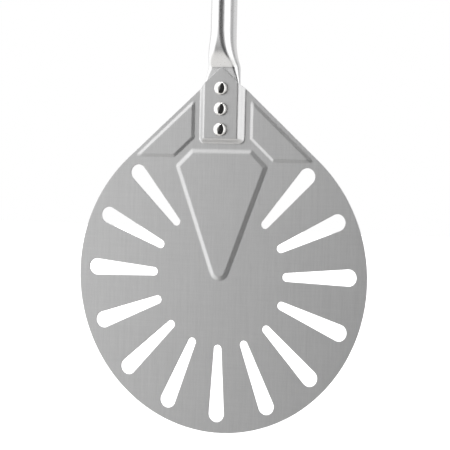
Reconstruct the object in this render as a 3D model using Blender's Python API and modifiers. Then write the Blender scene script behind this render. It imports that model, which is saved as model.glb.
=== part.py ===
"""A perforated turning peel for a pizza oven: a pressed sheet blade riveted to a tube handle.

The peel stands on the lowest point of its blade, with its handle up.  The blade lies in the XZ
plane and its food side faces -Y.  Z = 0 is the blade's lowest lip, and X = Y = 0 is the axis of
the handle tube.
"""

import math

import bmesh
import bpy
from mathutils import Vector

MM = 0.001
FIT_GAP = 0.3 * MM
WELD_DISTANCE = 0.001 * MM

# Blade: a disc whose two shoulders run straight up to a neck.
BLADE_RADIUS = 115 * MM
SHEET_THICKNESS = 1.0 * MM
BLADE_FRONT_Y = 1.0 * MM
BLADE_BACK_Y = BLADE_FRONT_Y + SHEET_THICKNESS
SHOULDER_TANGENT = math.radians(48.4)
NECK_TIP_RADIUS = 3 * MM

# Slots: tapered, pointing at the blade's centre, evenly spaced about straight down.
SLOT_COUNT = 13
SLOT_PITCH = math.radians(23)
SLOT_INNER_AT = 53.2 * MM
SLOT_INNER_RADIUS = 3.1 * MM
SLOT_OUTER_AT = 100.9 * MM
SLOT_OUTER_RADIUS = 6.1 * MM

# Pressings, all measured from the blade's centre.
POCKET_HALF_WIDTH = 18.5 * MM
POCKET_BOTTOM = 97.2 * MM
POCKET_TOP = 175 * MM
POCKET_SIDE_WALL = 5.6 * MM
POCKET_BOTTOM_WALL = 4.6 * MM
POCKET_CORNER = 4.4 * MM
POCKET_NECK_CORNER = 1 * MM
POCKET_HEIGHT = 3.8 * MM

KITE_TOP = 94.0 * MM
KITE_TOP_HALF_WIDTH = 24.2 * MM
KITE_SHOULDER = 81.3 * MM
KITE_HALF_WIDTH = 37.5 * MM
KITE_APEX = -18.7 * MM
KITE_TIP_RADIUS = 8.2 * MM
KITE_CORNER = 3 * MM
KITE_WALL = 4.0 * MM
KITE_HEIGHT = 0.7 * MM

# The two panels differ: the right one reaches lower than the left.
PANEL_INNER_X = 21.9 * MM
PANEL_BEND = 101 * MM
PANEL_FALL = 0.9
PANEL_BOTTOM_RIGHT = 84.4 * MM
PANEL_BOTTOM_LEFT = 86.7 * MM
PANEL_EDGE_AT = 112.6 * MM
PANEL_CORNER = 1.6 * MM
PANEL_WALL = 2.9 * MM
PANEL_HEIGHT = 0.55 * MM

PRESS_STEPS = 5
SHARPEST_CORNER = 0.4 * MM
BLANK_DEPTH = 30 * MM

# Handle tube: 19 mm stock, its lower end pressed flat and pushed into the pocket.
TUBE_RADIUS = 9.5 * MM
TUBE_WALL = 1.4 * MM
TUBE_TOP = 800 * MM
TUBE_BOTTOM = BLADE_RADIUS + 102.6 * MM
FLAT_END = BLADE_RADIUS + 142 * MM
ROUND_START = BLADE_RADIUS + 183 * MM
FLAT_HALF_THICKNESS = 1.6 * MM
FLAT_FRONT_Y = BLADE_BACK_Y - POCKET_HEIGHT + FIT_GAP
SWELL_POWER = 1.15

# The tube's front stays flat up to the tip of the blade, then rises quickly and levels off.
RISE_START = BLADE_RADIUS + 153 * MM
RISE_END = BLADE_RADIUS + 181 * MM
RISE_START_POWER = 1.35
RISE_END_POWER = 5

# Rivets: three on the centre line.
RIVET_HEIGHTS = {"rivet_lower": 108 * MM, "rivet_middle": 123 * MM, "rivet_upper": 138 * MM}
RIVET_HEAD_RADIUS = 4.9 * MM
RIVET_HEAD_HEIGHT = 2.7 * MM
RIVET_FLATNESS = 3.6
RIVET_SHANK_RADIUS = 2.4 * MM
RIVET_TAIL_RADIUS = 3.9 * MM
RIVET_TAIL_HEIGHT = 1.4 * MM
RIVET_TAIL_CROWN = 0.45
RIVET_HOLE_REACH = 10 * MM

# Sliding sleeve: a liner that runs on the tube, and a grip that turns on the liner.
COLLAR_BOTTOM = 400 * MM
COLLAR_LENGTH = 16 * MM
COLLAR_RADIUS = 14 * MM
COLLAR_CHAMFER = 1.5 * MM
COLLAR_SCREW_RADIUS = 2 * MM
COLLAR_SCREW_RIM = 0.3 * MM
COLLAR_SCREW_POINT = 0.8 * MM
COLLAR_SOCKET_RADIUS = 1.1 * MM
COLLAR_SOCKET_DEPTH = 2 * MM
SLEEVE_BOTTOM = COLLAR_BOTTOM + COLLAR_LENGTH + FIT_GAP
FLANGE_THICKNESS = 3 * MM
FLANGE_RADIUS = 14.8 * MM
LINER_RADIUS = 11.4 * MM
FLANGE_CHAMFER = 0.8 * MM
SLEEVE_GRIP_LENGTH = 118 * MM
SLEEVE_GRIP_RADIUS = 15.6 * MM
SLEEVE_GRIP_TAPER = 9 * MM

# Rear grip and end cap.
REAR_GRIP_BOTTOM = 682 * MM
REAR_GRIP_TOP = 800 * MM
REAR_GRIP_RADIUS = 15.6 * MM
REAR_GRIP_TAPER = 6 * MM
WAIST_RADIUS = REAR_GRIP_RADIUS - 1.4 * MM
WAIST_AT = REAR_GRIP_BOTTOM + 12 * MM
WAIST_END = REAR_GRIP_BOTTOM + 26 * MM
GUARD_RADIUS = 18 * MM
GUARD_CHAMFER = 3 * MM
GUARD_END = REAR_GRIP_BOTTOM + 5 * MM
CAP_RADIUS = 15 * MM
CAP_DOME_HEIGHT = 6 * MM
CAP_DOME_STEPS = ((6 * MM, 0), (2 * MM, 2 * MM), (0, 5 * MM))
CAP_STEM_LENGTH = 30 * MM
CAP_SCREW_AT = 784 * MM
CAP_SCREW_SUNK = 0.6 * MM
CAP_SCREW_RADIUS = 1.5 * MM
CAP_SCREW_HEAD_RADIUS = 3 * MM
CAP_SCREW_LENGTH = 11 * MM
CAP_SCREW_BORE_REACH = 3 * MM
DRIVER_SLOT_HALF_LENGTH = 4 * MM
DRIVER_SLOT_HALF_WIDTH = 0.4 * MM
DRIVER_SLOT_DEPTH = 0.8 * MM
EYE_CENTRE = 815 * MM
EYE_RADIUS = 8.5 * MM
EYE_HOLE_RADIUS = 3.6 * MM
EYE_THICKNESS = 7 * MM
EYE_ROOT = 3 * MM
RING_RADIUS = 14 * MM
RING_WIRE_RADIUS = 1.6 * MM

FLUTE_COUNT = 12
FLUTE_RADIUS = 2.2 * MM
FLUTE_DEPTH = 0.9 * MM
SLEEVE_FLUTE_MARGIN = 2 * SLEEVE_GRIP_TAPER
REAR_FLUTE_START = REAR_GRIP_BOTTOM + 32 * MM
REAR_FLUTE_END = REAR_GRIP_TOP - 24 * MM


# ---------------------------------------------------------------- scene helpers

def clear_scene():
    for obj in list(bpy.data.objects):
        bpy.data.objects.remove(obj, do_unlink=True)


def new_collection(name):
    collection = bpy.data.collections.new(name)
    bpy.context.scene.collection.children.link(collection)
    return collection


def new_material(name, colour, metallic, roughness):
    material = bpy.data.materials.new(name)
    material.use_nodes = True
    shader = material.node_tree.nodes["Principled BSDF"]
    shader.inputs["Base Color"].default_value = (*colour, 1)
    shader.inputs["Metallic"].default_value = metallic
    shader.inputs["Roughness"].default_value = roughness
    return material


def mesh_object(name, mesh, collection, material=None):
    obj = bpy.data.objects.new(name, mesh)
    collection.objects.link(obj)
    if material:
        mesh.materials.append(material)
    return obj


def smooth_round_faces(mesh, angle=35):
    mesh.shade_smooth()
    mesh.set_sharp_from_angle(angle=math.radians(angle))


def as_cutter(obj):
    obj.hide_render = True
    obj.display_type = "WIRE"
    return obj


def combine(target, other, operation):
    modifier = target.modifiers.new(f"{operation.lower()} {other.name}", "BOOLEAN")
    modifier.operation = operation
    modifier.solver = "EXACT"
    modifier.object = other


# ---------------------------------------------------------------- shape helpers

def smoothstep(t):
    t = min(max(t, 0), 1)
    return t * t * (3 - 2 * t)


def arc(centre, radius, start, end, steps):
    """Points of an arc in the XZ plane, from one angle to another."""
    angles = [start + (end - start) * i / steps for i in range(steps + 1)]
    return [centre + radius * Vector((math.cos(a), math.sin(a))) for a in angles]


def line_meet(point_a, along_a, point_b, along_b):
    cross = along_a.cross(along_b)
    return point_a + along_a * ((point_b - point_a).cross(along_b) / cross)


def inset_corners(corners, walls):
    """A convex, anticlockwise outline whose edge i moves inwards by walls[i]."""
    edges = []
    for i, start in enumerate(corners):
        along = (corners[(i + 1) % len(corners)] - start).normalized()
        edges.append((start + Vector((-along.y, along.x)) * walls[i], along))
    return [line_meet(*edges[i - 1], *edges[i]) for i in range(len(edges))]


def rounded(corners, radii, steps=4):
    """A convex, anticlockwise outline with each corner replaced by an arc."""
    points = []
    for i, corner in enumerate(corners):
        before = (corner - corners[i - 1]).normalized()
        after = (corners[(i + 1) % len(corners)] - corner).normalized()
        turn = before.angle(after)
        centre = corner - before * radii[i] * math.tan(turn / 2)
        centre += Vector((-before.y, before.x)) * radii[i]
        start = math.atan2(-before.x, before.y)
        points += arc(centre, radii[i], start, start + turn, steps)
    return points


def blade_outline():
    """The disc's arc, its two straight shoulders and the rounded neck tip, anticlockwise."""
    left, right = math.pi - SHOULDER_TANGENT, SHOULDER_TANGENT
    disc = arc(Vector((0, 0)), BLADE_RADIUS, left, right + 2 * math.pi, 112)
    tip_centre = Vector((0, (BLADE_RADIUS - NECK_TIP_RADIUS) / math.sin(SHOULDER_TANGENT)))
    return disc + arc(tip_centre, NECK_TIP_RADIUS, right, left, 8)


def slot_outline(angle):
    """Two unlike circles joined by the straight lines that touch both."""
    outwards = Vector((math.cos(angle), math.sin(angle)))
    lean = math.asin((SLOT_OUTER_RADIUS - SLOT_INNER_RADIUS) / (SLOT_OUTER_AT - SLOT_INNER_AT))
    side = math.pi / 2 + lean
    outer = arc(outwards * SLOT_OUTER_AT, SLOT_OUTER_RADIUS, angle - side, angle + side, 10)
    inner = arc(outwards * SLOT_INNER_AT, SLOT_INNER_RADIUS,
                angle + side, angle + 2 * math.pi - side, 6)
    return outer + inner


def flat_piece(name, outlines, thickness, mid_y, height, collection, material=None):
    """A plate in the XZ plane, cut from a filled 2D curve: the first outline, less the others."""
    curve = bpy.data.curves.new(name, "CURVE")
    curve.dimensions = "2D"
    curve.fill_mode = "BOTH"
    curve.extrude = thickness / 2
    for outline in outlines:
        spline = curve.splines.new("POLY")
        spline.points.add(len(outline) - 1)
        spline.use_cyclic_u = True
        for point, place in zip(spline.points, outline):
            point.co = (place.x, place.y, 0, 1)
    drawn = bpy.data.objects.new(f"{name} outline", curve)
    drawn.location = (0, mid_y, height)
    drawn.rotation_euler = (math.pi / 2, 0, 0)
    collection.objects.link(drawn)
    bpy.context.view_layer.update()
    evaluated = drawn.evaluated_get(bpy.context.evaluated_depsgraph_get())
    mesh = bpy.data.meshes.new_from_object(evaluated)
    weld = bmesh.new()
    weld.from_mesh(mesh)
    bmesh.ops.remove_doubles(weld, verts=weld.verts, dist=WELD_DISTANCE)
    weld.to_mesh(mesh)
    weld.free()
    piece = mesh_object(name, mesh, collection, material)
    piece.matrix_world = drawn.matrix_world
    bpy.data.objects.remove(drawn)
    bpy.data.curves.remove(curve)
    return piece


def loft(name, rings, collection, material=None, ring_shaped=False):
    """A skin through rings of equal point count, capped, or closed on itself like a ring."""
    skin = bmesh.new()
    loops = [[skin.verts.new(point) for point in ring] for ring in rings]
    pairs = list(zip(loops, loops[1:]))
    if ring_shaped:
        pairs.append((loops[-1], loops[0]))
    else:
        skin.faces.new(loops[0])
        skin.faces.new(loops[-1])
    for lower, upper in pairs:
        for i in range(len(lower)):
            j = (i + 1) % len(lower)
            skin.faces.new((lower[i], lower[j], upper[j], upper[i]))
    bmesh.ops.recalc_face_normals(skin, faces=skin.faces)
    mesh = bpy.data.meshes.new(name)
    skin.to_mesh(mesh)
    skin.free()
    return mesh_object(name, mesh, collection, material)


def turned(name, profile, collection, material=None, steps=40, closed=False):
    """A profile of (radius, height) points, top to bottom on its outer side, turned about Z."""
    mesh = bpy.data.meshes.new(name)
    edges = [(i, i + 1) for i in range(len(profile) - 1)]
    if closed:
        edges.append((len(profile) - 1, 0))
    mesh.from_pydata([(radius, 0, height) for radius, height in profile], edges, [])
    obj = mesh_object(name, mesh, collection, material)
    screw = obj.modifiers.new("turn", "SCREW")
    screw.steps = steps
    screw.render_steps = steps
    screw.use_merge_vertices = True
    screw.merge_threshold = 10 * WELD_DISTANCE
    screw.use_smooth_shade = True
    return obj


def drill(name, radius, start, end, collection, steps=24):
    """A cylinder between two points, used to cut a hole."""
    along = Vector(end) - Vector(start)
    body = bmesh.new()
    bmesh.ops.create_cone(body, cap_ends=True, segments=steps, radius1=radius, radius2=radius,
                          depth=along.length)
    mesh = bpy.data.meshes.new(name)
    body.to_mesh(mesh)
    body.free()
    obj = mesh_object(name, mesh, collection)
    obj.location = (Vector(start) + Vector(end)) / 2
    obj.rotation_mode = "QUATERNION"
    obj.rotation_quaternion = along.to_track_quat("Z", "Y")
    return as_cutter(obj)


# ---------------------------------------------------------------- blade

def pocket_shape():
    half, low, high = POCKET_HALF_WIDTH, POCKET_BOTTOM, POCKET_TOP
    corners = [Vector(p) for p in ((-half, low), (half, low), (half, high), (-half, high))]
    walls = (POCKET_BOTTOM_WALL, POCKET_SIDE_WALL, 0, POCKET_SIDE_WALL)
    radii = 2 * (POCKET_CORNER,) + 2 * (POCKET_NECK_CORNER,)
    return corners, walls, radii, POCKET_HEIGHT


def kite_shape():
    corners = [Vector(p) for p in (
        (0, KITE_APEX),
        (KITE_HALF_WIDTH, KITE_SHOULDER),
        (KITE_TOP_HALF_WIDTH, KITE_TOP),
        (-KITE_TOP_HALF_WIDTH, KITE_TOP),
        (-KITE_HALF_WIDTH, KITE_SHOULDER),
    )]
    radii = (KITE_TIP_RADIUS,) + 4 * (KITE_CORNER,)
    return corners, 5 * (KITE_WALL,), radii, KITE_HEIGHT


def panel_shape(side, bottom):
    """The raised panel beside the pocket: side is 1 on the right and -1 on the left."""
    cos, sin = math.cos(SHOULDER_TANGENT), math.sin(SHOULDER_TANGENT)
    low_x = PANEL_INNER_X + (PANEL_BEND - bottom) / PANEL_FALL
    far_x = (PANEL_EDGE_AT - bottom * sin) / cos
    top_z = (PANEL_EDGE_AT - PANEL_INNER_X * cos) / sin
    corners = [Vector((side * x, z)) for x, z in (
        (low_x, bottom),
        (far_x, bottom),
        (PANEL_INNER_X, top_z),
        (PANEL_INNER_X, PANEL_BEND),
    )]
    if side < 0:
        corners.reverse()
    return corners, 4 * (PANEL_WALL,), 4 * (PANEL_CORNER,), PANEL_HEIGHT


def pressing(name, shape, root, lift, collection):
    """A raised field with an S-shaped wall.  Its foot lies in the blade's front face, moved by
    lift towards the food side, and its root reaches that much deeper than the foot."""
    corners, walls, radii, height = shape
    foot = rounded(corners, radii)
    thinnest_wall = min(wall for wall in walls if wall)
    inner_radii = [max(radius - thinnest_wall, SHARPEST_CORNER) for radius in radii]
    field = rounded(inset_corners(corners, walls), inner_radii)
    rings = [[Vector((p.x, BLADE_FRONT_Y - lift + root, BLADE_RADIUS + p.y)) for p in foot]]
    for i in range(PRESS_STEPS + 1):
        share = i / PRESS_STEPS
        y = BLADE_FRONT_Y - lift - height * smoothstep(share)
        between = [a.lerp(b, share) for a, b in zip(foot, field)]
        rings.append([Vector((p.x, y, BLADE_RADIUS + p.y)) for p in between])
    return as_cutter(loft(name, rings, collection))


def make_blade(parts, cutters, steel):
    """The sheet is pressed, then blanked to its outline with the slots, then drilled."""
    sheet = bmesh.new()
    bmesh.ops.create_cube(sheet, size=1)
    side = 4 * BLADE_RADIUS
    bmesh.ops.scale(sheet, verts=sheet.verts, vec=(side, SHEET_THICKNESS, side))
    middle_y = (BLADE_FRONT_Y + BLADE_BACK_Y) / 2
    bmesh.ops.translate(sheet, verts=sheet.verts, vec=(0, middle_y, BLADE_RADIUS))
    mesh = bpy.data.meshes.new("blade")
    sheet.to_mesh(mesh)
    sheet.free()
    blade = mesh_object("blade", mesh, parts, steel)

    shapes = {
        "pocket": pocket_shape(),
        "kite": kite_shape(),
        "panel right": panel_shape(1, PANEL_BOTTOM_RIGHT),
        "panel left": panel_shape(-1, PANEL_BOTTOM_LEFT),
    }
    for name, shape in shapes.items():
        boss = pressing(f"{name} boss", shape, SHEET_THICKNESS / 2, 0, cutters)
        combine(blade, boss, "UNION")
    for name, shape in shapes.items():
        recess = pressing(f"{name} recess", shape, SHEET_THICKNESS, -SHEET_THICKNESS, cutters)
        combine(blade, recess, "DIFFERENCE")

    first = -math.pi / 2 - SLOT_PITCH * (SLOT_COUNT - 1) / 2
    outlines = [blade_outline()]
    outlines += [slot_outline(first + SLOT_PITCH * i) for i in range(SLOT_COUNT)]
    blank = flat_piece("blank", outlines, BLANK_DEPTH, middle_y, BLADE_RADIUS, cutters)
    combine(blade, as_cutter(blank), "INTERSECT")
    return blade


# ---------------------------------------------------------------- handle tube

def tube_section(height, wall_inset):
    """One cross-section of the tube: a flat-sided oval that grows from flat to round.

    The wall keeps its length as it is pressed, so the oval is widest where it is thinnest.
    """
    share = min(max((height - FLAT_END) / (ROUND_START - FLAT_END), 0), 1)
    swollen = math.sin(math.pi / 2 * share) ** SWELL_POWER
    lobe = FLAT_HALF_THICKNESS + (TUBE_RADIUS - FLAT_HALF_THICKNESS) * swollen
    middle_wall = 2 * math.pi * (TUBE_RADIUS - TUBE_WALL / 2)
    straight = (middle_wall - 2 * math.pi * (lobe - TUBE_WALL / 2)) / 4
    climb = min(max((height - RISE_START) / (RISE_END - RISE_START), 0), 1)
    risen = 1 - (1 - climb ** RISE_START_POWER) ** RISE_END_POWER
    front_y = FLAT_FRONT_Y + (-TUBE_RADIUS - FLAT_FRONT_Y) * risen
    mid_y = front_y + lobe

    lobe -= wall_inset
    arc_steps, face_steps = 10, 4
    half = []
    for i in range(arc_steps + 1):
        angle = math.pi / 2 - math.pi * i / arc_steps
        half.append((straight + lobe * math.cos(angle), lobe * math.sin(angle)))
    for i in range(1, face_steps):
        half.append((straight * (1 - 2 * i / face_steps), -lobe))
    other_half = [(-x, -y) for x, y in half]
    return [Vector((x, mid_y + y, height)) for x, y in half + other_half]


def make_tube(parts, steel):
    below_rise, above_rise = 4, 16
    heights = [TUBE_BOTTOM]
    heights += [FLAT_END + (RISE_START - FLAT_END) * i / below_rise for i in range(below_rise)]
    heights += [RISE_START + (ROUND_START - RISE_START) * i / above_rise
                for i in range(above_rise + 1)]
    heights.append(TUBE_TOP)
    outside = [tube_section(z, 0) for z in heights]
    inside = [tube_section(z, TUBE_WALL) for z in reversed(heights)]
    tube = loft("handle_tube", outside + inside, parts, steel, ring_shaped=True)
    smooth_round_faces(tube.data)
    return tube


# ---------------------------------------------------------------- rivets

def make_rivet(name, height, parts, steel):
    """A rivet with a flattened dome in front of the blade and a formed tail behind the tube."""
    head_seat = BLADE_FRONT_Y - POCKET_HEIGHT - FIT_GAP
    tail_seat = FLAT_FRONT_Y + 2 * FLAT_HALF_THICKNESS + FIT_GAP
    front, back = -head_seat, -tail_seat
    dome_steps, tail_steps = 8, 3
    power = 2 / RIVET_FLATNESS
    profile = []
    for i in range(dome_steps + 1):
        angle = math.pi / 2 * i / dome_steps
        profile.append((RIVET_HEAD_RADIUS * math.sin(angle) ** power,
                        front + RIVET_HEAD_HEIGHT * max(math.cos(angle), 0) ** power))
    profile += [
        (RIVET_SHANK_RADIUS, front),
        (RIVET_SHANK_RADIUS, back),
    ]
    for i in range(tail_steps + 1):
        angle = math.pi / 2 * i / tail_steps
        share = RIVET_TAIL_CROWN + (1 - RIVET_TAIL_CROWN) * math.cos(angle)
        profile.append((RIVET_TAIL_RADIUS * share, back - RIVET_TAIL_HEIGHT * math.sin(angle)))
    profile.append((0, back - RIVET_TAIL_HEIGHT))
    rivet = turned(name, profile, parts, steel, steps=28)
    rivet.location = (0, 0, height)
    rivet.rotation_euler = (math.pi / 2, 0, 0)


def make_riveted_joint(parts, cutters, blade, tube, steel):
    for name, above_centre in RIVET_HEIGHTS.items():
        height = BLADE_RADIUS + above_centre
        make_rivet(name, height, parts, steel)
        hole = drill(f"{name} hole", RIVET_SHANK_RADIUS + FIT_GAP,
                     (0, -RIVET_HOLE_REACH, height), (0, RIVET_HOLE_REACH, height), cutters)
        combine(blade, hole, "DIFFERENCE")
        combine(tube, hole, "DIFFERENCE")


# ---------------------------------------------------------------- sliding sleeve

def ring_profile(inner, outer, bottom, top, chamfer):
    return [
        (inner, top),
        (outer - chamfer, top),
        (outer, top - chamfer),
        (outer, bottom + chamfer),
        (outer - chamfer, bottom),
        (inner, bottom),
    ]


def cut_flutes(grip, low, high, surface_radius, cutters):
    """Round-ended grooves along a grip, all around it."""
    across = surface_radius + FLUTE_RADIUS - FLUTE_DEPTH
    for i in range(FLUTE_COUNT):
        angle = 2 * math.pi * i / FLUTE_COUNT
        x, y = across * math.cos(angle), across * math.sin(angle)
        flute = drill(f"{grip.name} flute {i}", FLUTE_RADIUS, (x, y, low), (x, y, high),
                      cutters, steps=16)
        combine(grip, flute, "DIFFERENCE")


def make_stop_collar(parts, cutters, nylon, steel):
    """A collar that keeps the sleeve off the flattened end, held by a socket grub screw."""
    top = COLLAR_BOTTOM + COLLAR_LENGTH
    profile = ring_profile(TUBE_RADIUS + FIT_GAP, COLLAR_RADIUS, COLLAR_BOTTOM, top,
                           COLLAR_CHAMFER)
    collar = turned("stop_collar", profile, parts, nylon, closed=True)
    height = COLLAR_BOTTOM + COLLAR_LENGTH / 2
    start, end = TUBE_RADIUS + FIT_GAP, COLLAR_RADIUS - FIT_GAP
    hole = drill("collar screw hole", COLLAR_SCREW_RADIUS + FIT_GAP,
                 (0, TUBE_RADIUS - TUBE_WALL, height),
                 (0, COLLAR_RADIUS + COLLAR_CHAMFER, height), cutters)
    combine(collar, hole, "DIFFERENCE")

    profile = [
        (0, end - COLLAR_SOCKET_DEPTH),
        (COLLAR_SOCKET_RADIUS, end - COLLAR_SOCKET_DEPTH),
        (COLLAR_SOCKET_RADIUS, end),
        (COLLAR_SCREW_RADIUS - COLLAR_SCREW_RIM, end),
        (COLLAR_SCREW_RADIUS, end - COLLAR_SCREW_RIM),
        (COLLAR_SCREW_RADIUS, start + COLLAR_SCREW_POINT),
        (COLLAR_SCREW_RADIUS - COLLAR_SCREW_POINT, start),
        (0, start),
    ]
    screw = turned("collar_screw", profile, parts, steel, steps=24)
    screw.location = (0, 0, height)
    screw.rotation_euler = (-math.pi / 2, 0, 0)


def make_sleeve(parts, cutters, nylon, rubber):
    """A flanged liner on the tube, the grip that turns on it, and the ring that keeps it on."""
    bore = TUBE_RADIUS + FIT_GAP
    flange_top = SLEEVE_BOTTOM + FLANGE_THICKNESS
    grip_bottom = flange_top + FIT_GAP
    grip_top = grip_bottom + SLEEVE_GRIP_LENGTH
    ring_bottom = grip_top + FIT_GAP
    ring_top = ring_bottom + FLANGE_THICKNESS
    rim = FLANGE_RADIUS - FLANGE_CHAMFER

    turned("sleeve_liner", [
        (bore, ring_top),
        (LINER_RADIUS, ring_top),
        (LINER_RADIUS, flange_top),
        (FLANGE_RADIUS, flange_top),
        (FLANGE_RADIUS, SLEEVE_BOTTOM + FLANGE_CHAMFER),
        (rim, SLEEVE_BOTTOM),
        (bore, SLEEVE_BOTTOM),
    ], parts, nylon, closed=True)
    turned("sleeve_retainer", [
        (LINER_RADIUS + FIT_GAP, ring_top),
        (rim, ring_top),
        (FLANGE_RADIUS, ring_top - FLANGE_CHAMFER),
        (FLANGE_RADIUS, ring_bottom),
        (LINER_RADIUS + FIT_GAP, ring_bottom),
    ], parts, nylon, closed=True)

    inner = LINER_RADIUS + FIT_GAP
    grip = turned("sleeve_grip", [
        (inner, grip_top),
        (rim, grip_top),
        (SLEEVE_GRIP_RADIUS, grip_top - SLEEVE_GRIP_TAPER),
        (SLEEVE_GRIP_RADIUS, grip_bottom + SLEEVE_GRIP_TAPER),
        (rim, grip_bottom),
        (inner, grip_bottom),
    ], parts, rubber, steps=48, closed=True)
    cut_flutes(grip, grip_bottom + SLEEVE_FLUTE_MARGIN, grip_top - SLEEVE_FLUTE_MARGIN,
               SLEEVE_GRIP_RADIUS, cutters)


# ---------------------------------------------------------------- rear grip, cap and ring

def make_rear_grip(parts, cutters, rubber):
    """A fixed grip with a guard at its front, pushed on to the end of the tube."""
    inner = TUBE_RADIUS + FIT_GAP
    grip = turned("rear_grip", [
        (inner, REAR_GRIP_TOP),
        (CAP_RADIUS, REAR_GRIP_TOP),
        (REAR_GRIP_RADIUS, REAR_GRIP_TOP - REAR_GRIP_TAPER),
        (REAR_GRIP_RADIUS, WAIST_END),
        (WAIST_RADIUS, WAIST_AT),
        (GUARD_RADIUS, GUARD_END),
        (GUARD_RADIUS, REAR_GRIP_BOTTOM + GUARD_CHAMFER),
        (GUARD_RADIUS - GUARD_CHAMFER, REAR_GRIP_BOTTOM),
        (inner, REAR_GRIP_BOTTOM),
    ], parts, rubber, steps=48, closed=True)
    cut_flutes(grip, REAR_FLUTE_START, REAR_FLUTE_END, REAR_GRIP_RADIUS, cutters)
    return grip


def make_end_cap(parts, cutters, nylon):
    """A domed plug whose stem fits the tube's bore, with an eye for the hanging ring."""
    base = REAR_GRIP_TOP + FIT_GAP
    dome_top = base + CAP_DOME_HEIGHT
    stem = TUBE_RADIUS - TUBE_WALL - FIT_GAP
    dome = [(CAP_RADIUS - inset, dome_top - drop) for inset, drop in CAP_DOME_STEPS]
    cap = turned("end_cap", [
        (0, dome_top),
        *dome,
        (CAP_RADIUS, base),
        (stem, base),
        (stem, base - CAP_STEM_LENGTH),
        (0, base - CAP_STEM_LENGTH),
    ], parts, nylon)
    foot = dome_top - EYE_ROOT - EYE_CENTRE
    eye = arc(Vector((0, 0)), EYE_RADIUS, 0, math.pi, 16)
    eye += [Vector((-EYE_RADIUS, foot)), Vector((EYE_RADIUS, foot))]
    hole = arc(Vector((0, 0)), EYE_HOLE_RADIUS, 0, 2 * math.pi, 24)[:-1]
    lug = flat_piece("eye lug", [eye, hole], EYE_THICKNESS, 0, EYE_CENTRE, cutters)
    combine(cap, as_cutter(lug), "UNION")
    return cap


def make_cap_screw(parts, cutters, steel, pierced):
    """A countersunk screw from the back, through the grip and the tube into the cap's stem."""
    head_at = REAR_GRIP_RADIUS - CAP_SCREW_SUNK
    tip_at = head_at - CAP_SCREW_LENGTH
    head_depth = CAP_SCREW_HEAD_RADIUS - CAP_SCREW_RADIUS
    screw = turned("cap_screw", [
        (0, head_at),
        (CAP_SCREW_HEAD_RADIUS, head_at),
        (CAP_SCREW_RADIUS, head_at - head_depth),
        (CAP_SCREW_RADIUS, tip_at + CAP_SCREW_RADIUS),
        (0, tip_at),
    ], parts, steel, steps=24)
    screw.location = (0, 0, CAP_SCREW_AT)
    screw.rotation_euler = (-math.pi / 2, 0, 0)
    long, narrow = DRIVER_SLOT_HALF_LENGTH, DRIVER_SLOT_HALF_WIDTH
    for name, half_x, half_z in (("driver slot", long, narrow),
                                 ("driver cross slot", narrow, long)):
        box = bmesh.new()
        bmesh.ops.create_cube(box, size=2)
        bmesh.ops.scale(box, verts=box.verts, vec=(half_x, DRIVER_SLOT_DEPTH, half_z))
        bmesh.ops.translate(box, verts=box.verts, vec=(0, head_at, CAP_SCREW_AT))
        mesh = bpy.data.meshes.new(name)
        box.to_mesh(mesh)
        box.free()
        combine(screw, as_cutter(mesh_object(name, mesh, cutters)), "DIFFERENCE")

    head_bore, shank_bore = CAP_SCREW_HEAD_RADIUS + FIT_GAP, CAP_SCREW_RADIUS + FIT_GAP
    bore = turned("cap screw bore", [
        (0, head_at + CAP_SCREW_BORE_REACH),
        (head_bore, head_at + CAP_SCREW_BORE_REACH),
        (head_bore, head_at),
        (shank_bore, head_at - head_depth),
        (shank_bore, tip_at - FIT_GAP),
        (0, tip_at - FIT_GAP),
    ], cutters, steps=24)
    bore.location = screw.location
    bore.rotation_euler = screw.rotation_euler
    as_cutter(bore)
    for piece in pierced:
        combine(piece, bore, "DIFFERENCE")


def make_hang_ring(parts, steel):
    """A wire ring through the eye.  Its origin is on the hinge axis, in the eye's hole."""
    bpy.ops.mesh.primitive_torus_add(major_radius=RING_RADIUS, minor_radius=RING_WIRE_RADIUS,
                                     major_segments=40, minor_segments=10,
                                     rotation=(0, math.pi / 2, 0))
    ring = bpy.context.object
    ring.name = "hang_ring"
    ring.data.materials.append(steel)
    ring.data.shade_smooth()
    for collection in list(ring.users_collection):
        collection.objects.unlink(ring)
    parts.objects.link(ring)
    bpy.ops.object.transform_apply(location=False, rotation=True, scale=False)
    for vertex in ring.data.vertices:
        vertex.co.z += RING_RADIUS
    ring.location = (0, 0, EYE_CENTRE)


def main():
    clear_scene()
    parts = new_collection("turning_peel")
    cutters = new_collection("cutters")
    blade_metal = new_material("brushed sheet", (0.52, 0.52, 0.52), 1, 0.42)
    tube_metal = new_material("polished tube", (0.80, 0.80, 0.80), 1, 0.22)
    rivet_metal = new_material("bright rivet", (0.86, 0.85, 0.82), 1, 0.08)
    ring_metal = new_material("ring wire", (0.70, 0.70, 0.70), 1, 0.2)
    nylon = new_material("black nylon", (0.035, 0.035, 0.037), 0, 0.45)
    rubber = new_material("grip rubber", (0.022, 0.022, 0.023), 0, 0.7)

    blade = make_blade(parts, cutters, blade_metal)
    tube = make_tube(parts, tube_metal)
    make_riveted_joint(parts, cutters, blade, tube, rivet_metal)
    make_stop_collar(parts, cutters, nylon, ring_metal)
    make_sleeve(parts, cutters, nylon, rubber)
    rear_grip = make_rear_grip(parts, cutters, rubber)
    end_cap = make_end_cap(parts, cutters, nylon)
    make_cap_screw(parts, cutters, ring_metal, (tube, rear_grip, end_cap))
    make_hang_ring(parts, ring_metal)


main()
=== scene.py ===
"""The looks of the turning peel: fine surfaces, finishes, studio light and the camera."""

import math

import bmesh
import bpy
from mathutils import Matrix, Vector
from mathutils.geometry import delaunay_2d_cdt


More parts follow.
